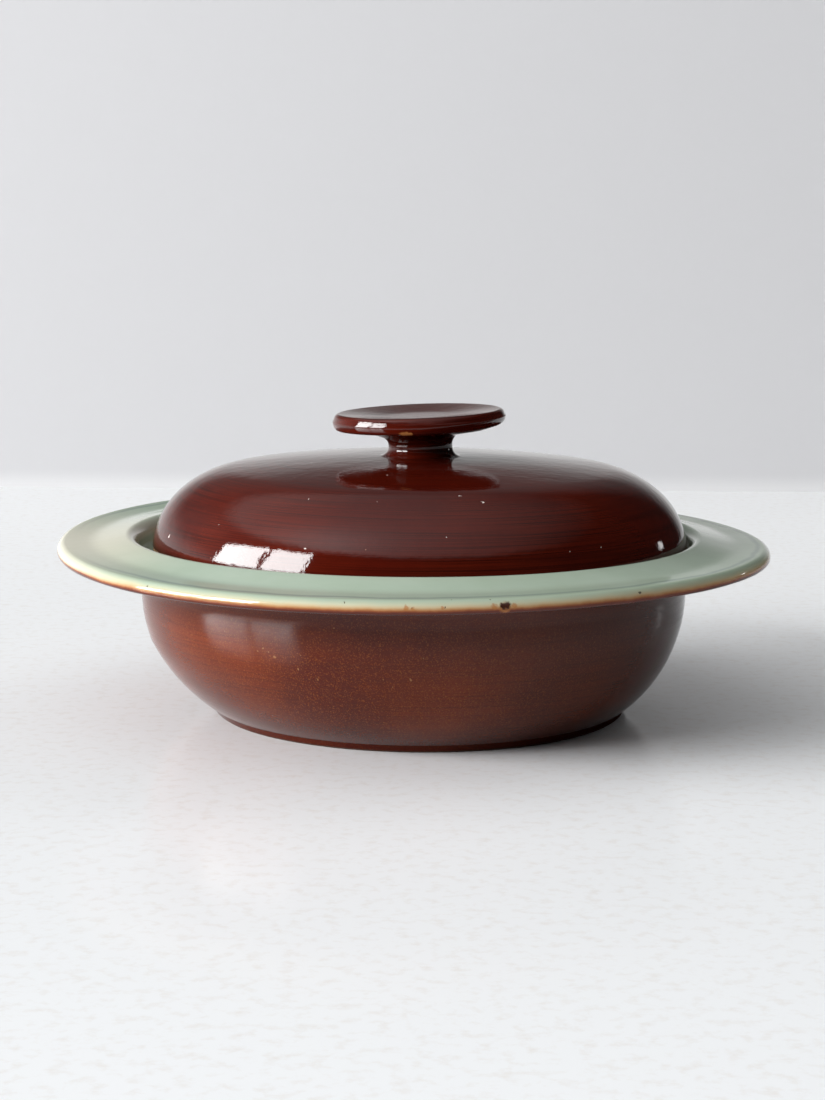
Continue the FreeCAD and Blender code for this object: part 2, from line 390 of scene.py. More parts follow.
def makeGlossBrown():
    g = glossBrown
    material, tree, shader = newMaterial("brownGlossGlaze")
    places = wheelPlaces(tree)
    lines = wheelLines(tree, places, g["lineSpacing"], g["lineLength"], -1)
    lined = lineColours(tree, lines, g, cloudTones(tree, places["place"], g))
    # the specks and pinholes are painted pale, as glints of light in tiny pits
    marked = addMarks(tree, lined, [
        (scatter(tree, places["place"], *g["specks"]), g["speckColour"]),
        (marksAt(tree, places, g["pits"]), g["pitColour"]),
        (marksAt(tree, places, g["chips"]), g["chipColour"]),
        (marksAt(tree, places, g["pinholes"]), g["pinholeGlintColour"]),
    ])
    tree.links.new(marked, shader.inputs["Base Color"])
    shader.inputs["IOR"].default_value = g["ior"]
    knobTop = addNode(tree, "MapRange", {"Value": places["height"], **g["knobTop"]}).outputs[0]
    hollow = addNode(tree, "MapRange", {"Value": places["radius"], **g["hollowEdge"]}).outputs[0]
    worn = addNode(tree, "Math", {"operation": "MULTIPLY", 0: knobTop, 1: hollow}).outputs[0]
    rough = addNode(tree, "MapRange", {"Value": worn, **g["roughness"]}).outputs[0]
    tree.links.new(rough, shader.inputs["Roughness"])
    bump = addBumps(tree, places["place"], [(lines, g["lineDepth"])] + g["reliefs"])
    tree.links.new(bump, shader.inputs["Normal"])
    return material


# The lip, where both glazes run thin over the edge and break from celadon through cream and tan to brown
lip = {
    "edge": {"From Min": 135.5, "From Max": 137.5},     # radius over which the break sets in
    "heights": {"From Min": 63.6, "From Max": 68.0},    # on the wheel, from brown to celadon
    "wander": {"Scale": 1 / 13, "Detail": 4.0, "Roughness": 0.65},
    "wanderReach": 0.25,
    "stops": [(0.0, "#4a2018"), (0.2, "#5e2a1c"), (0.31, "#874a29"), (0.44, "#ae8156"),
              (0.6, "#bfab88"), (0.78, "#b3b499"), (1.0, "#a0af9b")],
    "haloColour": "#a56b38",
    "haloShare": 0.7,
    "chipColour": "#3f231a",
    # places on the wheel and sizes: a chip where the brown bled through, with small ones round it
    "halos": [((27.4, -137.2, 66.0), 2.2), ((34.2, -135.7, 66.0), 2.2), ((31.0, -136.7, 65.7), 4.2),
              ((-2.6, -139.7, 66.2), 1.8), ((-0.4, -139.9, 65.9), 1.4), ((9.6, -139.4, 66.2), 1.2)],
    "chips": [((30.2, -136.6, 66.2), 2.6), ((31.7, -136.2, 66.4), 2.8), ((-0.6, -139.9, 66.4), 0.6),
              ((10.6, -139.5, 66.4), 0.6), ((25.9, -135.6, 68.0), 0.6), ((-23.6, -137.1, 67.5), 0.6)],
}


def lipBreak(tree, places, plain):
    # both glazes read this, so the bands run on over the line where the two coats meet
    shift = wander(tree, places["place"], lip["wander"], 0, lip["wanderReach"])
    level = addNode(tree, "Math", {"operation": "ADD", 0: places["height"], 1: shift}).outputs[0]
    band = addNode(tree, "MapRange", {"Value": level, **lip["heights"]}).outputs[0]
    ramp = addNode(tree, "ValToRGB", {"Fac": band})
    elements = ramp.color_ramp.elements
    elements.remove(elements[1])
    for i, (position, code) in enumerate(lip["stops"]):
        element = elements[0] if i == 0 else elements.new(position)
        element.position = position
        element.color = colour(code)
    near = addNode(tree, "MapRange", {"Value": places["radius"], **lip["edge"]}).outputs[0]
    mixed = addNode(tree, "Mix", {
        "data_type": "RGBA", 0: near, 6: plain, 7: ramp.outputs[0]}).outputs[2]
    halo = marksAt(tree, places, lip["halos"])
    halo = addNode(tree, "Math", {"operation": "MULTIPLY", 0: halo, 1: lip["haloShare"]}).outputs[0]
    return addMarks(tree, mixed, [
        (halo, lip["haloColour"]), (marksAt(tree, places, lip["chips"]), lip["chipColour"])])


# Brown satin glaze on the dish: the same glaze, thinner, over a clay rich in iron.
# The iron bleeds through as a golden speckle, and the brush rings blur the reflections a little.
satinBrown = {
    "tones": ("#4b1608", "#66260a"),
    "cloudSize": 55,
    "cloudDetail": 3.0,
    "cloudEdge": 0.35,
    "lineColour": "#3a1409",
    "lineSpacing": 0.8,
    "lineLength": 60,
    "lineRange": {"From Min": 0.45, "From Max": 0.8, "To Max": 0.6},
    "lineDepth": 0.025,
    "grainColour": "#844517",
    "grain": {"Scale": 1 / 0.5, "Detail": 2.0},
    "grainRange": {"From Min": 0.52, "From Max": 0.78},
    "grainDepth": 0.01,
    "shadeColour": "#3a1410",   # painted shade in the cove under the flange, and on the belly down towards the foot
    "shadeShare": 0.6,
    "coveShade": {"From Min": 40.0, "From Max": 58.0},
    "footShade": {"From Min": 14.0, "From Max": 2.5},
    "rightShadeColour": "#220d08",   # painted shade: darker and duller round to the right, away from the window
    "rightShadeRange": {"From Min": 15.0, "From Max": 105.0, "To Max": 0.8},
    "rightShadeDulls": -0.25,
    # the side of the foot was wiped and is nearly matt
    "specular": {"From Min": 3.4, "From Max": 3.0, "To Min": 0.5, "To Max": 0.12},
    "ior": 1.34,
    # smooth between the brush rings and rough on them
    "roughness": {"From Min": 0.3, "From Max": 0.8, "To Min": 0.08, "To Max": 0.2},
    "specks": (9, 0.6, 0.2),
    "speckColour": "#8c5e36",
    "pinholes": [((-0.8, -105.0, 32.3), 1.1), ((-55.9, -90.9, 39.6), 0.9), ((-54.0, -92.3, 41.0), 0.9),
                 ((-49.6, -94.2, 38.1), 1.2), ((-52.2, -93.1, 39.8), 0.8), ((-34.4, -98.9, 31.1), 0.8),
                 ((-41.2, -97.3, 34.4), 0.8), ((-40.4, -98.8, 39.8), 0.7), ((-28.1, -103.8, 50.6), 0.7),
                 ((-68.4, -82.8, 45.3), 0.6), ((3.4, -106.9, 40.6), 0.6), ((-7.5, -103.8, 29.4), 0.6),
                 ((-10.4, -104.5, 32.1), 0.8)],
}


def makeSatinBrown():
    g = satinBrown
    material, tree, shader = newMaterial("brownSatinGlaze")
    places = wheelPlaces(tree)
    lines = wheelLines(tree, places, g["lineSpacing"], g["lineLength"], 1)
    lined = lineColours(tree, lines, g, cloudTones(tree, places["place"], g))
    grains = addNode(tree, "TexNoise", {"Vector": places["place"], **g["grain"]}).outputs[0]
    grain = addNode(tree, "MapRange", {"Value": grains, **g["grainRange"]}).outputs[0]
    # painted shade: darker up under the flange and down towards the foot
    cove = addNode(tree, "MapRange", {"Value": places["height"], **g["coveShade"]}).outputs[0]
    foot = addNode(tree, "MapRange", {"Value": places["height"], **g["footShade"]}).outputs[0]
    shade = addNode(tree, "Math", {"operation": "MAXIMUM", 0: cove, 1: foot}).outputs[0]
    shade = addNode(tree, "Math", {"operation": "MULTIPLY", 0: shade, 1: g["shadeShare"]}).outputs[0]
    # painted shade: the colour darkens and the gloss dulls towards the right, away from the window
    right = addNode(tree, "SeparateXYZ", {0: places["place"]}).outputs["X"]
    rightShade = addNode(tree, "MapRange", {"Value": right, **g["rightShadeRange"]}).outputs[0]
    marked = addMarks(tree, lined, [
        (grain, g["grainColour"]),
        (shade, g["shadeColour"]),
        (rightShade, g["rightShadeColour"]),
        (scatter(tree, places["place"], *g["specks"]), g["speckColour"]),
        (marksAt(tree, places, g["pinholes"]), g["speckColour"]),
    ])
    tree.links.new(lipBreak(tree, places, marked), shader.inputs["Base Color"])
    shader.inputs["IOR"].default_value = g["ior"]
    wiped = addNode(tree, "MapRange", {"Value": places["height"], **g["specular"]}).outputs[0]
    gloss = addNode(tree, "Math", {"operation": "MULTIPLY_ADD", 0: rightShade, 1: g["rightShadeDulls"], 2: wiped})
    tree.links.new(gloss.outputs[0], shader.inputs["Specular IOR Level"])
    rough = addNode(tree, "MapRange", {"Value": lines, **g["roughness"]}).outputs[0]
    tree.links.new(rough, shader.inputs["Roughness"])
    bump = addBumps(tree, places["place"], [(grains, g["grainDepth"]), (lines, g["lineDepth"])])
    tree.links.new(bump, shader.inputs["Normal"])
    return material


# Celadon: a pale green glaze coloured by a little iron, poured on.
# It is milky where it lies thick, and iron specks from the clay show through.
celadon = {
    "tones": ("#a2b3a0", "#acbbab"),        # thin and thick
    "cloudSize": 28,
    "cloudDetail": 3.0,
    "cloudEdge": 0.3,
    "poolAndReflectionColour": "#86968d",    # the glaze ran down the flange and pooled inside the lip, with a painted reflection of the dark lid in that groove
    "darkRingRadius": 134.6,
    "darkRingWander": {"Scale": 1 / 30, "Detail": 3.0},
    "darkRingReach": 1.2,
    "darkRingWidth": {"From Min": 1.6, "From Max": 0.3, "To Max": 0.8},
    "thinAndLitSideColour": "#d8d6c3",        # it ran off thin and creamy at the left, with a painted reflection of the window's light on that side
    "thinAndLitSide": (-136.0, -20.0, 68.0),
    "thinAndLitSideSize": {"From Min": 95.0, "From Max": 5.0},
    "thinAndLitSideAbove": {"From Min": 65.0, "From Max": 66.4},
    "ior": 1.5,
    "roughness": 0.07,
    "reliefs": [(2.5, 0.015), (12, 0.07)],      # ripples and swells
    "reliefDetail": 1.0,
    "scattered": (16, 0.6, 0.25),
    "speckColour": "#5b5648",
    "specks": [((-94.2, -102.9, 67.0), 0.9), ((78.7, -115.1, 67.1), 1.1), ((13.0, -136.8, 68.2), 0.7)],
}


def makeCeladon():
    g = celadon
    material, tree, shader = newMaterial("celadonGlaze")
    places = wheelPlaces(tree)
    base = cloudTones(tree, places["place"], g)
    # a darker ring inside the lip: pooled glaze, with a painted reflection of the dark lid in it
    ring = wander(tree, places["place"], g["darkRingWander"], g["darkRingRadius"], g["darkRingReach"])
    away = addNode(tree, "Math", {"operation": "SUBTRACT", 0: places["radius"], 1: ring}).outputs[0]
    away = addNode(tree, "Math", {"operation": "ABSOLUTE", 0: away}).outputs[0]
    darkRing = addNode(tree, "MapRange", {"Value": away, **g["darkRingWidth"]}).outputs[0]
    ringedBase = addMarks(tree, base, [(darkRing, g["poolAndReflectionColour"])])
    # paler at the left, towards the window: glaze run thin, and painted reflection of the window's light
    side = addNode(tree, "VectorMath", {"operation": "DISTANCE", 0: places["place"], 1: g["thinAndLitSide"]})
    side = addNode(tree, "MapRange", {
        "interpolation_type": "SMOOTHSTEP", "Value": side.outputs["Value"], **g["thinAndLitSideSize"]}).outputs[0]
    above = addNode(tree, "MapRange", {"Value": places["height"], **g["thinAndLitSideAbove"]}).outputs[0]
    side = addNode(tree, "Math", {"operation": "MULTIPLY", 0: side, 1: above}).outputs[0]
    marked = addMarks(tree, lipBreak(tree, places, ringedBase), [
        (side, g["thinAndLitSideColour"]),
        (scatter(tree, places["place"], *g["scattered"]), g["speckColour"]),
        (marksAt(tree, places, g["specks"]), g["speckColour"]),
    ])
    tree.links.new(marked, shader.inputs["Base Color"])
    shader.inputs["IOR"].default_value = g["ior"]
    shader.inputs["Roughness"].default_value = g["roughness"]
    bump = addBumps(tree, places["place"], g["reliefs"], g["reliefDetail"])
    tree.links.new(bump, shader.inputs["Normal"])
    return material


# Bare stoneware: fired sandy clay that was wiped free of glaze, matt, with grog and iron specks.
# It is darker brown below about 4 mm, round the foot.
bareClay = {
    "tones": ("#b98d62", "#cba77c"),
    "cloudSize": 6,
    "cloudDetail": 5.0,
    "cloudEdge": 0.3,
    "iron": (3, 0.5, 0.4),
    "ironColour": "#6d4a30",
    "footDarkColour": "#4b2a1a",
    "footDarkRange": {"From Min": 4.0, "From Max": 3.0},
    "roughness": 0.8,
    "reliefs": [(0.8, 0.08)],       # grit
}


def makeBareClay():
    g = bareClay
    material, tree, shader = newMaterial("bareStoneware")
    place = addNode(tree, "TexCoord", {}).outputs["Object"]
    place = addNode(tree, "VectorMath", {"operation": "SCALE", 0: place, "Scale": 1 / mm}).outputs[0]
    base = cloudTones(tree, place, g)
    height = addNode(tree, "SeparateXYZ", {0: place}).outputs["Z"]
    low = addNode(tree, "MapRange", {"Value": height, **g["footDarkRange"]}).outputs[0]
    footDarkened = addMarks(tree, base, [(scatter(tree, place, *g["iron"]), g["ironColour"]), (low, g["footDarkColour"])])
    tree.links.new(footDarkened, shader.inputs["Base Color"])
    shader.inputs["Roughness"].default_value = g["roughness"]
    tree.links.new(addBumps(tree, place, g["reliefs"]), shader.inputs["Normal"])
    return material


# Dish, sizes of the clay under the glaze
dish = {
    "wallRadius": 107.1,
    "wallStraight": 0.8,
    "wallThickness": 6.4,
    "footRadius": 83.5,         # at the crease
    "footHeight": 3.2,
    "footTaper": 1.6,
    "footWidth": 8.0,
    "glazeStop": 1.0,           # bare clay below this height
    "baseHeight": 3.2,
    "baseRound": 2.0,
    "floorHeight": 10.2,
    "insideRound": 38.0,
    "rimRadius": 139.6,
    "coveRound": 11.0,
    "undersideSlope": 8.5,      # degrees, rising outwards
    "lipThickness": 4.1,
    "lipTopRound": 2.8,
    "lipBottomRound": 1.3,
    "shelfWidth": 13.6,         # the nearly level ring along the rim
    "shelfSlope": 1.0,          # degrees, rising outwards
    "shelfRound": 28.0,         # the pooled glaze fills the clay's own corner
    "flangeSlope": 11.4,        # degrees, falling outwards
    "crestHeight": 70.3,
    "crestRound": 3.6,
    "galleryRadius": 109.4,
    "galleryRound": 2.0,
    "ledgeHeight": 61.5,
    "ledgeOverhang": 1.4,
    "ledgeNose": 3.5,
    "ledgeRound": 1.2,
    "ledgeBackRound": 3.0,
    "ledgeUnderside": 40.0,     # degrees off upright
    "wobbleSize": 45,
    "wobbleDepth": 0.1,
}

# The broad flange sank and twisted a little in drying: its rim leans up to one side and is a slight
# saddle, and the foot was trimmed a little off centre
warp = {
    "from": 108.0,              # radius
    "lean": 2.08,
    "leanTowards": -156.0,      # degrees from the front, to the right
    "saddle": 1.11,
    "saddleTowards": 44.0,
    "footShift": 2.5,
    "footShrink": 0.0155,
    "footTop": 30.0,            # height at which the belly is back in its place
}


def tangent(degrees):
    return math.tan(math.radians(degrees))


def dishLevels():
    d = dish
    slope = math.radians(d["flangeSlope"])
    crestCorner = d["crestHeight"] + d["crestRound"] * (1 / math.cos(slope) - 1 + math.tan(slope))
    shelfRadius = d["rimRadius"] - d["shelfWidth"]
    shelfHeight = crestCorner - (shelfRadius - d["galleryRadius"]) * math.tan(slope)
    lipHeight = shelfHeight + d["shelfWidth"] * tangent(d["shelfSlope"])
    lipBottom = lipHeight - d["lipThickness"]
    return {
        "crestCorner": crestCorner,
        "shelf": (shelfRadius, shelfHeight),
        "lipHeight": lipHeight,
        "lipBottom": lipBottom,
        "glazeLine": lipHeight - d["lipTopRound"] * tangent(45 + d["shelfSlope"] / 2),
        "coveCorner": lipBottom - (d["rimRadius"] - d["wallRadius"]) * tangent(d["undersideSlope"]),
    }


def warpFlange(piece):
    for vertex in piece.data.vertices:
        x, y, _ = vertex.co / mm
        out = (math.hypot(x, y) - warp["from"]) / (dish["rimRadius"] - warp["from"])
        if out > 0:
            towards = math.degrees(math.atan2(x, -y))
            lean = warp["lean"] * math.cos(math.radians(towards - warp["leanTowards"]))
            saddle = warp["saddle"] * math.cos(math.radians(2 * (towards - warp["saddleTowards"])))
            vertex.co.z += out * (lean + saddle) * mm


def shiftFoot(piece):
    for vertex in piece.data.vertices:
        share = max(0, 1 - vertex.co.z / mm / warp["footTop"])
        vertex.co.x *= 1 - warp["footShrink"] * share
        vertex.co.y *= 1 - warp["footShrink"] * share
        vertex.co.x += warp["footShift"] * share * mm


def finishDishGlaze(piece, material, node):
    wobble(piece, dish["wobbleSize"], dish["wobbleDepth"])
    glazeSkin(piece)
    warpFlange(piece)
    shiftFoot(piece)
    finishPiece(piece, "dish", material, node)


def makeDishBrown(material, levels):
    d = dish
    coveStart = levels["coveCorner"] - d["coveRound"] * tangent(45 - d["undersideSlope"] / 2)
    bellyTop = coveStart - d["wallStraight"]
    across = d["wallRadius"] - d["footRadius"]
    up = bellyTop - d["footHeight"]
    bellyRadius = (across ** 2 + up ** 2) / (2 * across)
    bellyTurn = math.degrees(math.atan2(up, bellyRadius - across))
    footSlope = d["footTaper"] / d["footHeight"]
    start = (d["footRadius"] - footSlope * (d["footHeight"] - d["glazeStop"]), d["glazeStop"])
    piece = startOutline("dishBrownGlaze", *start)
    here = lineTo(start, (d["footRadius"], d["footHeight"]))
    here = arcTo(here, (d["wallRadius"] - bellyRadius, bellyTop), bellyTurn)
    cornersTo(here, [
        (d["wallRadius"], levels["coveCorner"], d["coveRound"]),
        (d["rimRadius"], levels["lipBottom"], d["lipBottomRound"]),
        (d["rimRadius"], levels["glazeLine"], 0),
    ])
    turnOutline(piece)
    finishDishGlaze(piece, material, "dish_brown_glaze")


def makeDishCeladon(material, levels):
    d = dish
    innerRadius = d["wallRadius"] - d["wallThickness"]
    ledgeRadius = innerRadius - d["ledgeOverhang"]
    noseBottom = d["ledgeHeight"] - d["ledgeNose"]
    ledgeBack = noseBottom - d["ledgeOverhang"] / tangent(d["ledgeUnderside"])
    start = (d["rimRadius"], levels["glazeLine"])
    piece = startOutline("dishCeladonGlaze", *start)
    cornersTo(start, [
        (d["rimRadius"], levels["lipHeight"], d["lipTopRound"]),
        (*levels["shelf"], d["shelfRound"]),
        (d["galleryRadius"], levels["crestCorner"], d["crestRound"]),
        (d["galleryRadius"], d["ledgeHeight"], d["galleryRound"]),
        (ledgeRadius, d["ledgeHeight"], d["ledgeRound"]),
        (ledgeRadius, noseBottom, d["ledgeRound"]),
        (innerRadius, ledgeBack, d["ledgeBackRound"]),
        (innerRadius, d["floorHeight"], d["insideRound"]),
        (0, d["floorHeight"], 0),
    ])
    turnOutline(piece)
    finishDishGlaze(piece, material, "dish_celadon_glaze")


def makeDishBase(material):
    d = dish
    footInner = d["footRadius"] - d["footTaper"] - d["footWidth"]
    start = (footInner, d["glazeStop"])
    piece = startOutline("dishBaseGlaze", *start)
    cornersTo(start, [(footInner, d["baseHeight"], d["baseRound"]), (0, d["baseHeight"], 0)])
    turnOutline(piece, inwards=True)
    glazeSkin(piece)
    shiftFoot(piece)
    finishPiece(piece, "dish", material, "dish_base_glaze")


def makeDishClay(material):
    piece = copyNode("dish_clay", "dishClay")
    warpFlange(piece)
    shiftFoot(piece)
    bpy.ops.object.shade_smooth_by_angle(angle=math.radians(wheel["clayCrease"]))
    finishPiece(piece, "dish", material, "dish_clay")


# Lid and knob, sizes of the clay under the glaze, heights from the table
lid = {
    "centreX": 2.4,
    "radius": 105.2,
    "bandTop": 63.5,
    "glazeStop": 66.4,
    "wall": 6.0,
    "top": 100.5,
    "crownRadius": 599.6,
    "sideRadius": 30.6,
    "sideSpan": 45.0,           # degrees
    "wobbleSize": 40,
    "wobbleDepth": 0.1,
}
knob = {
    "radius": 33.8,
    "ridgeHeight": 118.2,
    "thickness": 6.5,
    "undercut": 0.7,            # from the widest part in to the lower edge
    "edgeRound": 1.3,
    "bulge": 2.7,               # height of the widest part above the lower edge
    "bulgeRound": 5.0,
    "fullness": 0.35,           # makes up for what the round takes off
    "shoulder": 1.2,            # from the widest part in to the ridge
    "ridgeRound": 1.5,
    "hollowDepth": 1.9,
    "hollowRadius": 13.0,
    "hollowRound": 60.0,
    "underside": 7.5,           # degrees, rising outwards
    "stemRadius": 12.25,
    "stemStraight": 0.5,
    "tilt": 2.4,                # degrees, down to the left, as it was set on by hand
    "tiltFrom": 101.5,          # the stem bends between these heights
    "tiltTo": 108.0,
    "paredAbove": 109.0,        # the disc's underside was pared between these heights
    "paredTop": 116.0,
    "paredFade": 2.5,           # less and less over this far below the top
    "paredGap": 1.0,            # from the stem out to where it starts
    "paredOver": 6.0,           # and deeper over this far
    "thinLeft": 1.0,            # how deep, on the left and on the right
    "thinRight": 0.4,
    "bevelRight": 1.8,          # and more towards the edge on the right
    "bevelFrom": 26.0,          # radius
    "bevelOver": 8.0,
}


def domeArcs():
    # the side, shoulder and crown of the dome, each tangent to the next
    span = math.radians(lid["sideSpan"])
    outwards = Vector((math.cos(span), math.sin(span)))
    side = Vector((lid["radius"] - lid["sideRadius"], lid["bandTop"]))
    crown = Vector((0, lid["top"] - lid["crownRadius"]))
    sideEnd = side + outwards * lid["sideRadius"]
    chord = sideEnd - crown
    shortfall = lid["crownRadius"] ** 2 - chord.length_squared
    shoulderRadius = shortfall / (2 * (lid["crownRadius"] - chord.dot(outwards)))
    shoulder = sideEnd - outwards * shoulderRadius
    shoulderEnd = math.degrees(math.atan2(shoulder.y - crown.y, shoulder.x))
    return {"side": side, "shoulder": shoulder, "crown": crown, "shoulderEnd": shoulderEnd}


def shapeKnob(piece):
    # the disc's underside pared by hand, thinner on the left and bevelled on the right
    k = knob
    for vertex in piece.data.vertices:
        x, y, z = vertex.co / mm
        x -= lid["centreX"]
        radius = math.hypot(x, y)
        if z < k["paredAbove"] or radius < k["stemRadius"] + k["paredGap"]:
            continue
        side = x / radius
        low = min(max((k["paredTop"] - z) / k["paredFade"], 0), 1)
        out = min((radius - k["stemRadius"] - k["paredGap"]) / k["paredOver"], 1)
        edge = min(max((radius - k["bevelFrom"]) / k["bevelOver"], 0), 1)
        thin = k["thinLeft"] + (k["thinRight"] - k["thinLeft"]) * (side + 1) / 2
        vertex.co.z += low * (thin * out + k["bevelRight"] * max(side, 0) * edge ** 2) * mm


def tiltKnob(piece):
    for vertex in piece.data.vertices:
        share = (vertex.co.z / mm - knob["tiltFrom"]) / (knob["tiltTo"] - knob["tiltFrom"])
        if share > 0:
            pivot = Vector((lid["centreX"], 0, knob["tiltFrom"])) * mm
            turn = Matrix.Rotation(-math.radians(knob["tilt"]) * min(share, 1), 3, "Y")
            vertex.co = turn @ (vertex.co - pivot) + pivot


def makeLidBrown(material, arcs):
    edgeBottom = knob["ridgeHeight"] - knob["thickness"]
    stemTop = edgeBottom - (knob["radius"] - knob["stemRadius"]) * tangent(knob["underside"])
    stemRise = stemTop - lid["top"] - knob["stemStraight"]
    stemRound = stemRise / (1 + tangent(45 - knob["underside"] / 2))
    flareRadius = knob["stemRadius"] + stemRound
    flareAngle = math.degrees(math.acos(flareRadius / (lid["crownRadius"] + stemRound)))
    flareHeight = arcs["crown"].y + (lid["crownRadius"] + stemRound) * math.sin(math.radians(flareAngle))
    hollowHeight = knob["ridgeHeight"] - knob["hollowDepth"]
    startAngle = math.asin((lid["glazeStop"] - lid["bandTop"]) / lid["sideRadius"])
    start = (arcs["side"].x + lid["sideRadius"] * math.cos(startAngle), lid["glazeStop"])
    piece = startOutline("lidBrownGlaze", *start)
    here = arcTo(start, arcs["side"], lid["sideSpan"] - math.degrees(startAngle))
    here = arcTo(here, arcs["shoulder"], arcs["shoulderEnd"] - lid["sideSpan"])
    here = arcTo(here, arcs["crown"], flareAngle - arcs["shoulderEnd"])
    here = arcTo(here, (flareRadius, flareHeight), -flareAngle)
    cornersTo(here, [
        (knob["stemRadius"], stemTop, stemRound),
        (knob["radius"] - knob["undercut"], edgeBottom, knob["edgeRound"]),
        (knob["radius"] + knob["fullness"], edgeBottom + knob["bulge"], knob["bulgeRound"]),
        (knob["radius"] - knob["shoulder"], knob["ridgeHeight"], knob["ridgeRound"]),
        (knob["hollowRadius"], hollowHeight, knob["hollowRound"]),
        (0, hollowHeight, 0),
    ])
    turnOutline(piece)
    wobble(piece, lid["wobbleSize"], lid["wobbleDepth"])
    glazeSkin(piece)
    moveRight(piece, lid["centreX"])
    shapeKnob(piece)
    tiltKnob(piece)
    finishPiece(piece, "lid", material, "lid_brown_glaze")


def makeKnobClay(material):
    piece = copyNode("lid_knob", "knobClay")
    shapeKnob(piece)
    tiltKnob(piece)
    bpy.ops.object.shade_smooth_by_angle(angle=math.radians(wheel["clayCrease"]))
    finishPiece(piece, "lid", material, "lid_knob")


def makeLidLining(material, arcs):
    # celadon inside the dome, drawn from its edge to the top
    start = (arcs["side"].x + lid["sideRadius"] - lid["wall"], lid["bandTop"])
    piece = startOutline("lidCeladonGlaze", *start)
    here = arcTo(start, arcs["side"], lid["sideSpan"])
    here = arcTo(here, arcs["shoulder"], arcs["shoulderEnd"] - lid["sideSpan"])
    arcTo(here, arcs["crown"], 90 - arcs["shoulderEnd"])
    turnOutline(piece, inwards=True)
    glazeSkin(piece)
    moveRight(piece, lid["centreX"])
    finishPiece(piece, "lid", material, "lid_celadon_glaze")


# Studio: a pale stone table, a low wall behind it, a large window on the left, and a room that glows.
# Sizes are in metres, directions in degrees from the front, to the right.
studio = {
    "tableSize": 6.0,
    "tableColour": "#f6f8fa",
    "tableRoughness": 0.15,
    "tableIor": 1.36,
    "grainColour": "#edebe9",
    "grain": {"Scale": 1 / 0.005, "Detail": 3.0, "Roughness": 0.6},
    "grainRange": {"From Min": 0.5, "From Max": 0.8},
    "wallPlace": 0.70,
    "wallWidth": 3.0,
    "wallHeight": 0.36,
    "wallColour": "#c0c0c2",
    "wallRoughness": 0.9,
    "wallFootLight": "#cececf",      # painted light: paler at its foot, as a lit cove along the table would be
    "litCoveHeight": 0.014,
    "windowDistance": 4.0,
    "windowDirection": -48.0,
    "windowBottom": 0.65,
    "windowTop": 2.6,
    "panes": [(-4.3, -1.80), (-1.58, -0.14)],       # from and to along the window
    "windowLight": 22.0,        # radiance, where white paper is 1
    # place, size and radiance
    "sideLamp": ((0.95, 0.56, 0.2), (0.07, 0.085), 4.0),
    "fillLamp": ((1.3, 1.0, 1.5), (1.8, 1.2), 1.1),     # lightens the shadow, but shows in no reflection
    "lampTarget": (0, 0, 0.08),
}

# The room's glow: directions are parts of a unit vector, X to the right, Y to the back and Z up
room = {
    "glowDirection": -55.0,
    "glowHeight": 47.0,         # degrees above the table
    "glow": 0.85,
    "glowSpread": 1.2,
    "centre": 0.9,              # brighter at its middle
    "centreSpread": 16.0,
    "glowAbove": {"From Min": 0.56, "From Max": 0.68},
    "dim": 0.015,               # everywhere else
    # at the left
    "left": {"From Min": -0.45, "From Max": -0.85, "To Max": 0.2},
    "leftBehind": {"From Min": -0.45, "From Max": 0.0},
    # behind the wall, low down, as the glaze reflects it, and the share of it left at the right
    "back": {"From Max": 0.31, "To Min": 0.77, "To Max": 0.1},
    "backRight": {"From Min": -0.2, "From Max": 0.0, "To Min": 1.0, "To Max": 0.92},
    "backSlant": -0.6,
    "backFrom": {"From Min": 0.53, "From Max": 0.83},
    "farColour": "#dcdcde",     # what the camera sees past the table
}


def makeTableStone():
    material, tree, shader = newMaterial("polishedPaleStone")
    place = addNode(tree, "TexCoord", {}).outputs["Object"]
    grains = addNode(tree, "TexNoise", {"Vector": place, **studio["grain"]}).outputs[0]
    grain = addNode(tree, "MapRange", {"Value": grains, **studio["grainRange"]}).outputs[0]
    base = addNode(tree, "Mix", {
        "data_type": "RGBA", 0: grain, 6: colour(studio["tableColour"]),
        7: colour(studio["grainColour"])}).outputs[2]
    tree.links.new(base, shader.inputs["Base Color"])
    shader.inputs["Roughness"].default_value = studio["tableRoughness"]
    shader.inputs["IOR"].default_value = studio["tableIor"]
    return material


def makeWallPaint():
    # from behind, the wall lets the camera through
    material, tree, shader = newMaterial("paleMattPaint")
    around = addNode(tree, "NewGeometry", {}).outputs
    height = addNode(tree, "SeparateXYZ", {0: around["Position"]}).outputs["Z"]
    # painted light: the paint grows paler towards the wall's foot, as a lit cove would be
    low = addNode(tree, "MapRange", {
        "interpolation_type": "SMOOTHSTEP", "Value": height,
        "From Min": studio["litCoveHeight"], "From Max": 0.0}).outputs[0]
    paint = addNode(tree, "Mix", {
        "data_type": "RGBA", 0: low, 6: colour(studio["wallColour"]),
        7: colour(studio["wallFootLight"])}).outputs[2]
    tree.links.new(paint, shader.inputs["Base Color"])
    shader.inputs["Roughness"].default_value = studio["wallRoughness"]
    clear = addNode(tree, "BsdfTransparent", {}).outputs[0]
    mix = addNode(tree, "MixShader", {0: around["Backfacing"], 1: shader.outputs[0], 2: clear})
    tree.links.new(mix.outputs[0], tree.nodes["Material Output"].inputs["Surface"])
    return material


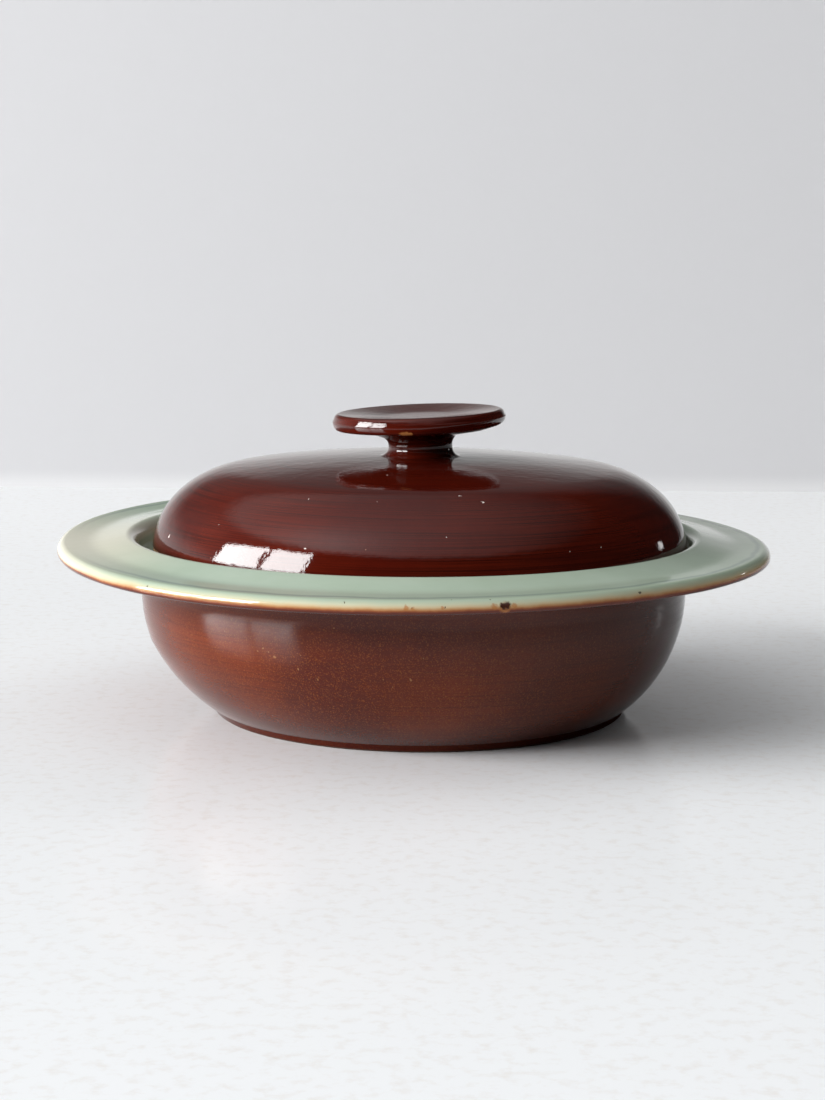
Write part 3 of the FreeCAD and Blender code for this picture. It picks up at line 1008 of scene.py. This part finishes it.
def makeStage():
    bpy.ops.object.select_all(action="DESELECT")
    bpy.ops.mesh.primitive_plane_add(size=studio["tableSize"], location=(0, 0, 0))
    table = bpy.context.object
    table.name = "table"
    table.data.materials.append(makeTableStone())
    bpy.ops.mesh.primitive_plane_add(size=1, location=(0, studio["wallPlace"], studio["wallHeight"] / 2),
                                     rotation=(math.radians(90), 0, 0))
    wall = bpy.context.object
    wall.name = "wall"
    wall.scale = (studio["wallWidth"], studio["wallHeight"], 1)
    wall.data.materials.append(makeWallPaint())
    # the room's own glow stands for it there, so it shows no edge in the glaze
    wall.visible_glossy = False


def addPanel(name, place, target, size, light):
    # an even panel of light: its radiance is its power over pi and its area
    data = bpy.data.lights.new(name, "AREA")
    data.shape = "RECTANGLE"
    data.size, data.size_y = size
    data.energy = light * math.pi * size[0] * size[1]
    panel = bpy.data.objects.new(name, data)
    scene.collection.objects.link(panel)
    panel.location = place
    panel.rotation_euler = (Vector(target) - Vector(place)).to_track_quat("-Z", "Y").to_euler()
    panel.visible_camera = False
    return panel


def makeLamps():
    angle = math.radians(studio["windowDirection"])
    out = Vector((math.sin(angle), -math.cos(angle), 0))
    along = Vector((-out.y, out.x, 0))
    middle = (studio["windowBottom"] + studio["windowTop"]) / 2
    height = studio["windowTop"] - studio["windowBottom"]
    for start, end in studio["panes"]:
        place = out * studio["windowDistance"] + along * (start + end) / 2 + Vector((0, 0, middle))
        addPanel("windowPane", place, place - out, (end - start, height), studio["windowLight"])
    place, size, light = studio["sideLamp"]
    addPanel("sideLamp", place, studio["lampTarget"], size, light)
    place, size, light = studio["fillLamp"]
    addPanel("fillLamp", place, studio["lampTarget"], size, light).visible_glossy = False


def roomGlow(tree, facing):
    # a wide glow with a brighter middle
    wide = addNode(tree, "Math", {"operation": "POWER", 0: facing, 1: room["glowSpread"]}).outputs[0]
    wide = addNode(tree, "Math", {"operation": "MULTIPLY", 0: wide, 1: room["glow"]}).outputs[0]
    narrow = addNode(tree, "Math", {"operation": "POWER", 0: facing, 1: room["centreSpread"]}).outputs[0]
    return addNode(tree, "Math", {
        "operation": "MULTIPLY_ADD", 0: narrow, 1: room["centre"], 2: wide}).outputs[0]


def makeWorld():
    world = bpy.data.worlds.new("studio")
    scene.world = world
    world.use_nodes = True
    tree = world.node_tree
    side = math.radians(room["glowDirection"])
    up = math.radians(room["glowHeight"])
    towards = (math.sin(side) * math.cos(up), -math.cos(side) * math.cos(up), math.sin(up))
    looking = addNode(tree, "TexCoord", {}).outputs["Generated"]
    facing = addNode(tree, "VectorMath", {"operation": "DOT_PRODUCT", 0: looking, 1: towards})
    facing = addNode(tree, "Math", {"operation": "MAXIMUM", 0: facing.outputs["Value"], 1: 0.0}).outputs[0]
    parts = addNode(tree, "SeparateXYZ", {0: looking}).outputs
    # high up, the glow of the window's side of the room
    high = addNode(tree, "MapRange", {
        "interpolation_type": "SMOOTHSTEP", "Value": parts["Z"], **room["glowAbove"]}).outputs[0]
    light = addNode(tree, "Math", {
        "operation": "MULTIPLY_ADD", 0: roomGlow(tree, facing), 1: high, 2: room["dim"]}).outputs[0]
    # at the left
    left = addNode(tree, "MapRange", {
        "interpolation_type": "SMOOTHSTEP", "Value": parts["X"], **room["left"]}).outputs[0]
    beside = addNode(tree, "MapRange", {
        "interpolation_type": "SMOOTHSTEP", "Value": parts["Y"], **room["leftBehind"]}).outputs[0]
    light = addNode(tree, "Math", {"operation": "MULTIPLY_ADD", 0: left, 1: beside, 2: light}).outputs[0]
    # behind, fading upwards and a little to the right
    low = addNode(tree, "MapRange", {
        "interpolation_type": "SMOOTHSTEP", "Value": parts["Z"], **room["back"]}).outputs[0]
    right = addNode(tree, "MapRange", {"Value": parts["X"], **room["backRight"]}).outputs[0]
    low = addNode(tree, "Math", {"operation": "MULTIPLY", 0: low, 1: right}).outputs[0]
    slanted = addNode(tree, "Math", {
        "operation": "MULTIPLY_ADD", 0: parts["X"], 1: room["backSlant"], 2: parts["Y"]}).outputs[0]
    behind = addNode(tree, "MapRange", {
        "interpolation_type": "SMOOTHSTEP", "Value": slanted, **room["backFrom"]}).outputs[0]
    light = addNode(tree, "Math", {"operation": "MULTIPLY_ADD", 0: low, 1: behind, 2: light}).outputs[0]
    glow = addNode(tree, "Background", {"Color": (1, 1, 1, 1), "Strength": light}).outputs[0]
    far = addNode(tree, "Background", {"Color": colour(room["farColour"]), "Strength": 1.0}).outputs[0]
    seen = addNode(tree, "LightPath", {}).outputs["Is Camera Ray"]
    mix = addNode(tree, "MixShader", {0: seen, 1: glow, 2: far})
    tree.links.new(mix.outputs[0], tree.nodes["World Output"].inputs["Surface"])


makeCamera()
makeStage()
makeLamps()
makeWorld()
print("stage, window and camera are set")

levels = dishLevels()
arcs = domeArcs()
stoneware = makeBareClay()
satin = makeSatinBrown()
green = makeCeladon()
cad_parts["lid_clay"].data.materials.clear()
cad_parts["lid_clay"].data.materials.append(stoneware)
makeDishClay(stoneware)
makeDishBrown(satin, levels)
makeDishCeladon(green, levels)
makeDishBase(satin)
makeLidBrown(makeGlossBrown(), arcs)
makeKnobClay(stoneware)
makeLidLining(green, arcs)

scene.view_settings.view_transform = "Standard"
